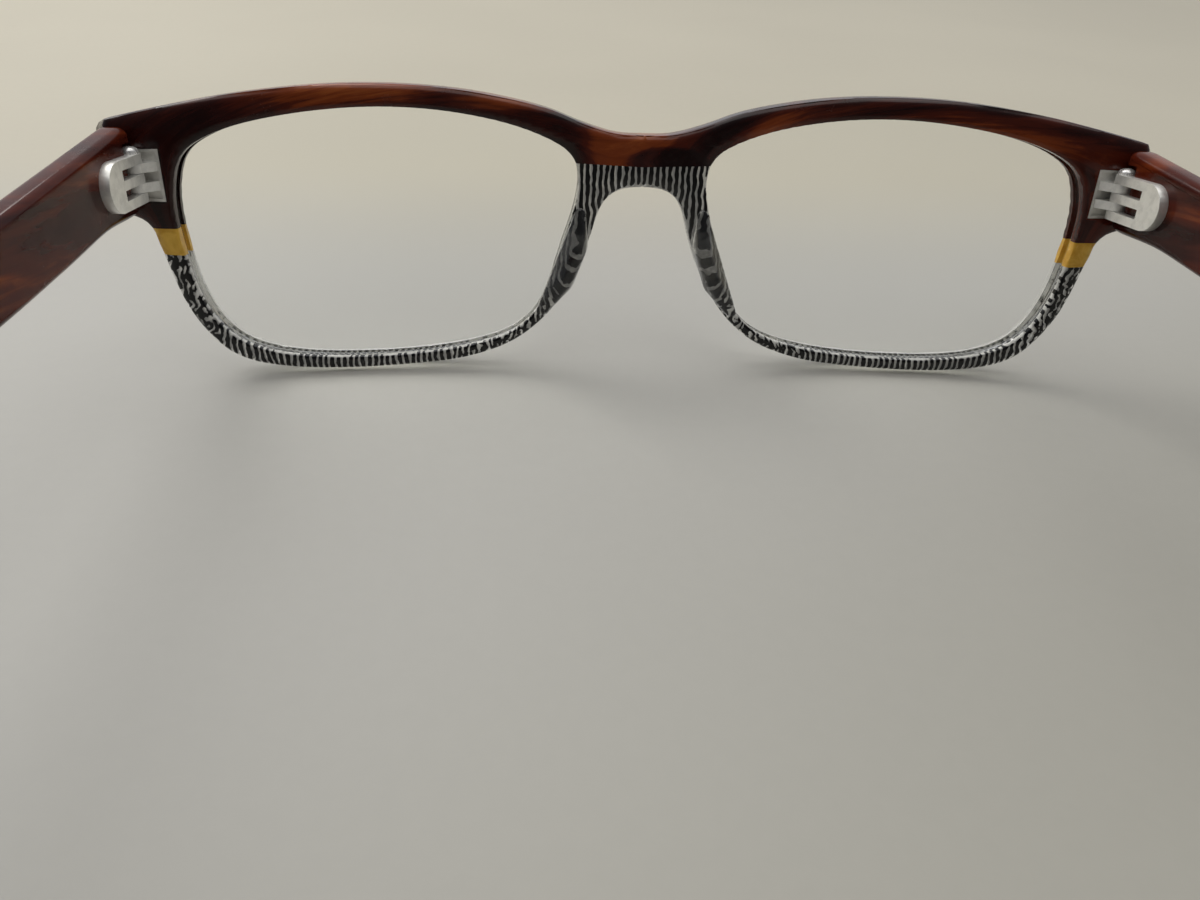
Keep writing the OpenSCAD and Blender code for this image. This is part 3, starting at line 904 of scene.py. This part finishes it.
def nose_pad(which):
    """A pad grown from the CAD's hull, smoothed until it flows like moulded acetate."""
    source = NODES["nose_pad_" + which]
    pad = bpy.data.objects.new("pad_" + which, source.data.copy())
    bpy.context.scene.collection.objects.link(pad)
    weld = pad.modifiers.new("weld", "WELD")
    weld.merge_threshold = PAD_WELD
    grid = pad.modifiers.new("grid", "REMESH")
    grid.mode = "VOXEL"
    grid.voxel_size = PAD_VOXEL
    soft = pad.modifiers.new("soft", "SMOOTH")
    soft.iterations = PAD_SMOOTHING
    apply_modifiers(pad)
    pad.data.materials.clear()
    pad.data.materials.append(PAD)
    pad.data.shade_smooth()
    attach(pad, "front")
    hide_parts("nose_pad_" + which)


for which in SIDES:
    nose_pad(which)

# ---------------------------------------------------------------- temples

TORTOISE_TEMPLE = temple_material()
TEMPLE_ROUND = 1.1 * MM
TEMPLE_STEP = 0.8 * MM
TEMPLE_SAMPLE = 0.5 * MM
SIDE_TOLERANCE = 0.002 * MM


def temple_outline():
    """The temple's side view, as (y, z) points round its edge."""
    points = corners("temple_right")
    side = points[:, 0].max()

    def chosen(p):
        return np.abs(p[:, 0] - side) < SIDE_TOLERANCE

    mids, _ = edge_points(("temple_right",), chosen, TEMPLE_SAMPLE)
    outline = walk(mids[:, 1:], np.array([mids[:, 1].max(), mids[:, 2].max()]), WALK_REACH)
    return resample(outline, TEMPLE_STEP, closed=True, soften=3)


def inset(outline, distance):
    """The outline moved inwards."""
    along = np.roll(outline, -1, 0) - np.roll(outline, 1, 0)
    along /= np.linalg.norm(along, axis=1)[:, None]
    ahead = np.roll(outline, -1, 0)
    area = (outline[:, 0] * ahead[:, 1] - ahead[:, 0] * outline[:, 1]).sum()
    turn = 1 if area > 0 else -1
    return outline + np.column_stack([-along[:, 1], along[:, 0]]) * turn * distance


def temple_piece(which, side):
    """A temple with rounded edges: its side view at several depths, joined from loop to loop."""
    outline = temple_outline()
    box = corners("temple_right")
    inner, outer = box[:, 0].min(), box[:, 0].max()
    rounding = [(TEMPLE_ROUND * a, drop(TEMPLE_ROUND * a, TEMPLE_ROUND)) for a in ARC]
    levels = [(distance, outer - fall) for distance, fall in reversed(rounding)]
    levels += [(0, (outer + inner) / 2)]
    levels += [(distance, inner + fall) for distance, fall in rounding]
    loops = [np.column_stack([np.full(len(outline), x), inset(outline, d)]) for d, x in levels]
    count = len(outline)
    points = np.vstack(loops) * (side, 1, 1)
    last = (len(loops) - 1) * count
    faces = []
    for here in range(0, last, count):
        there = here + count
        for k in range(count):
            on = (k + 1) % count
            faces.append([here + k, there + k, there + on, here + on])
    faces.append(list(range(count)))
    faces.append(list(range(last, last + count)))
    arm = new_piece("arm_" + which, points, faces, TORTOISE_TEMPLE)
    cut(arm, [barrel_cutter(side)])
    keep_flat = arm.modifiers.new("flat_sides", "WEIGHTED_NORMAL")
    keep_flat.keep_sharp = True
    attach(arm, "temple_arm_" + which)
    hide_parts("temple_" + which)


def barrel_cutter(side):
    """The room that the temple leaves for the hinge barrels, measured from the hinge screw."""
    inwards, outwards = 3 * MM, 1.45 * MM
    below, above = 0.2 * MM, 0.45 * MM
    ahead, behind = 6 * MM, 1.8 * MM
    screw = to_front(corners("hinge_screw_right"))
    low, high = screw.min(0), screw.max(0)
    middle = (low + high) / 2
    low = (middle[0] - inwards, low[1] - below, middle[2] - ahead)
    high = (middle[0] + outwards, high[1] + above, middle[2] + behind)
    return box_cutter(low, high, side)


for which, side in SIDES.items():
    temple_piece(which, side)

# ---------------------------------------------------------------- metal parts and lenses

SATIN = metal_material("hinge_satin", (0.88, 0.87, 0.83), rough=0.36, stretch=6.0)
BRIGHT = metal_material("screw_steel", (0.88, 0.87, 0.85), rough=0.24, stretch=1.0)
WIRE = metal_material("core_wire", (0.70, 0.68, 0.62), rough=0.35, stretch=12.0)
LENS = lens_material()
BEVEL_WELD = 0.002 * MM
BEVEL_ANGLE = math.radians(35)
LENS_TURNS = 144
LENS_RINGS = 16
LENS_TUCK = 0.42 * MM  # how far a lens reaches into its groove
LENS_SAMPLE = 12 * MM  # how much of the CAD lens's middle its curve is read from


def dress(node, material, edge=0.0):
    """Gives a CAD node its material, and breaks its sharp edges."""
    obj = NODES[node]
    obj.material_slots[0].material = material
    if edge:
        weld = obj.modifiers.new("weld", "WELD")
        weld.merge_threshold = BEVEL_WELD
        soft = obj.modifiers.new("soft_edges", "BEVEL")
        soft.width = edge
        soft.segments = 3
        soft.limit_method = "ANGLE"
        soft.angle_limit = BEVEL_ANGLE
        soft.harden_normals = True


def sphere_through(points):
    """Middle and radius of the sphere nearest to some points."""
    rows = np.column_stack([2 * points, np.ones(len(points))])
    found = np.linalg.lstsq(rows, (points**2).sum(1), rcond=None)[0]
    middle = found[:3]
    return middle, math.sqrt(found[3] + middle @ middle)


def on_sphere(flat, middle, radius):
    """The level of a sphere's near side over some points of the front's plane."""
    reach = ((flat - middle[:2]) ** 2).sum(1)
    return middle[2] - np.sqrt(radius**2 - reach)


def lens_piece(which, side):
    """A thin curved shell with an even mesh, cut to the CAD lens's outline."""
    turns = np.linspace(0, 2 * math.pi, LENS_TURNS, endpoint=False)
    spoke = np.column_stack([np.cos(turns), np.sin(turns)])
    reach = opening[:-1] - LENS_MID
    angle = np.arctan2(reach[:, 1], reach[:, 0]) % (2 * math.pi)
    order = np.argsort(angle)
    length = np.interp(turns, angle[order], np.hypot(*reach.T)[order], period=2 * math.pi) + LENS_TUCK
    rings = [(k + 1) / LENS_RINGS for k in range(LENS_RINGS)]
    flat = np.vstack([LENS_MID + spoke * (length * part)[:, None] for part in rings] + [LENS_MID[None]])
    near = lens[np.linalg.norm(lens[:, :2] - LENS_MID, axis=1) < LENS_SAMPLE]
    split = near[:, 2] > (near[:, 2].min() + near[:, 2].max()) / 2
    loops = []
    for part in (split, ~split):
        level = on_sphere(flat, *sphere_through(near[part]))
        loops.append(np.column_stack([flat, level]))
    count = len(flat)
    rim = (LENS_RINGS - 1) * LENS_TURNS
    steps = [(k, (k + 1) % LENS_TURNS) for k in range(LENS_TURNS)]
    faces = []
    for face in (0, count):
        for here in range(face, face + rim, LENS_TURNS):
            there = here + LENS_TURNS
            faces += [[here + k, here + on, there + on, there + k] for k, on in steps]
        faces += [[face + k, face + on, face + count - 1] for k, on in steps]
    faces += [[rim + k, rim + on, count + rim + on, count + rim + k] for k, on in steps]
    points = from_front(np.vstack(loops) * (side, 1, 1))
    shell = new_piece("lens_shell_" + which, points, faces, LENS)
    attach(shell, "front")
    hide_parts("lens_" + which)


for which, side in SIDES.items():
    lens_piece(which, side)
for which in SIDES:
    dress("front_hinge_" + which, SATIN, edge=0.07 * MM)
    dress("temple_hinge_" + which, SATIN, edge=0.12 * MM)
    dress("hinge_screw_" + which, BRIGHT, edge=0.05 * MM)
    dress("core_wire_" + which, WIRE)

# ---------------------------------------------------------------- camera and light

# The camera stands over the temples and looks down at the back of the front, a little to the right.
CAMERA_AT = (-0.0152, -0.0577, 0.0679)
PITCH = math.radians(35.0)
YAW = math.radians(5.2)
ROLL = math.radians(2.87)
FOCAL_LENGTH = 27.03
SENSOR_WIDTH = 36
NEAREST = 0.005
FLOOR_SIZE = 6
DIM_BEHIND = 0.05  # the room's light from behind the camera
BRIGHT_AHEAD = 0.62  # and from the window's side


def add_camera():
    ahead = Vector((math.sin(YAW), math.cos(YAW), 0))
    right = Vector((math.cos(YAW), -math.sin(YAW), 0))
    look = ahead * math.cos(PITCH) - Vector((0, 0, 1)) * math.sin(PITCH)
    up = Vector((0, 0, 1)) * math.cos(PITCH) + ahead * math.sin(PITCH)
    x = right * math.cos(ROLL) + up * math.sin(ROLL)
    y = up * math.cos(ROLL) - right * math.sin(ROLL)
    data = bpy.data.cameras.new("camera")
    data.lens = FOCAL_LENGTH
    data.sensor_width = SENSOR_WIDTH
    data.clip_start = NEAREST
    cam = bpy.data.objects.new("camera", data)
    cam.matrix_world = Matrix.Translation(CAMERA_AT) @ Matrix((x, y, -look)).transposed().to_4x4()
    bpy.context.scene.collection.objects.link(cam)
    bpy.context.scene.camera = cam


def add_lamp(name, at, size, power, colour):
    """A square lamp that shines at the middle of the table."""
    data = bpy.data.lights.new(name, "AREA")
    data.size = size
    data.energy = power
    data.color = colour
    lamp = bpy.data.objects.new(name, data)
    lamp.location = at
    lamp.rotation_euler = (-Vector(at)).to_track_quat("-Z", "Y").to_euler()
    bpy.context.scene.collection.objects.link(lamp)


def add_room():
    """The table, the light of the room from all round, and two lamps."""
    bpy.ops.mesh.primitive_plane_add(size=FLOOR_SIZE)
    floor = bpy.context.object
    floor.name = "table"
    floor.data.materials.append(floor_material())
    world = bpy.data.worlds.new("room")
    bpy.context.scene.world = world
    world.use_nodes = True
    nodes = world.node_tree.nodes
    links = world.node_tree.links
    where = nodes.new("ShaderNodeTexCoord")
    parts = nodes.new("ShaderNodeSeparateXYZ")
    shade = nodes.new("ShaderNodeMapRange")
    shade.inputs["From Min"].default_value = -1
    shade.inputs["To Min"].default_value = DIM_BEHIND
    shade.inputs["To Max"].default_value = BRIGHT_AHEAD
    links.new(where.outputs["Generated"], parts.inputs[0])
    links.new(parts.outputs["Y"], shade.inputs["Value"])
    links.new(shade.outputs[0], nodes["Background"].inputs["Strength"])
    nodes["Background"].inputs["Color"].default_value = (0.96, 0.97, 1, 1)
    add_lamp("window", (-0.45, 0.5, 0.65), size=0.6, power=3.4, colour=(1, 0.98, 0.94))
    add_lamp("ceiling", (0.1, 0.1, 1.2), size=1.4, power=6.5, colour=(1, 0.99, 0.96))


add_camera()
add_room()
bpy.context.scene.view_settings.view_transform = "Standard"
